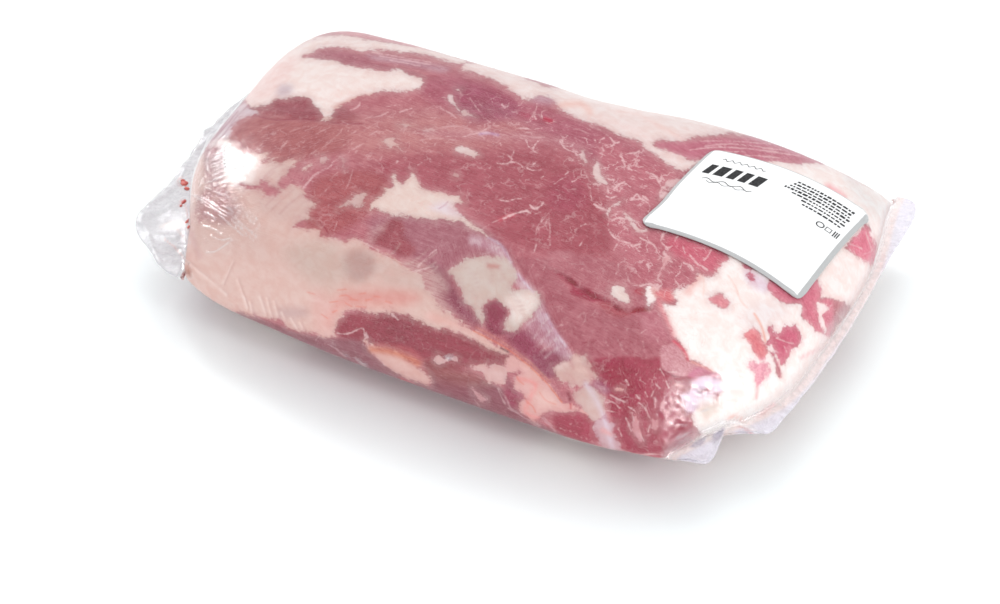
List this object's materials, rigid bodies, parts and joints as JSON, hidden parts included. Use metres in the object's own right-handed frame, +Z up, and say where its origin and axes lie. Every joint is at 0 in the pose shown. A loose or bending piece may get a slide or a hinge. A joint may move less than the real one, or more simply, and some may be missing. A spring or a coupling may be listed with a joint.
{
  "type": "vacuum pack of pork neck",
  "caption": "Boneless pork neck in a tight clear shrink bag, with a loose film tail, a crimped sealed hem and a plain paper label.",
  "frame": {"origin": "middle of the footprint, on the surface that the pack lies on", "axes": "+X along the neck towards the sealed hem, +Y towards its back edge, +Z up; the side at -Y faces the viewer"},
  "size_m": [0.3012, 0.191, 0.0779],
  "materials": {
    "meat_in_film": "raw red muscle and pale fat under glossy clear film",
    "clear_film": "thin clear glossy shrink film, milky where it is creased",
    "label_paper": "smooth white coated paper with a grey border"
  },
  "bodies": {
    "root": {"filled_bag": "meat_in_film", "label": "label_paper"}
  },
  "joints": []
}
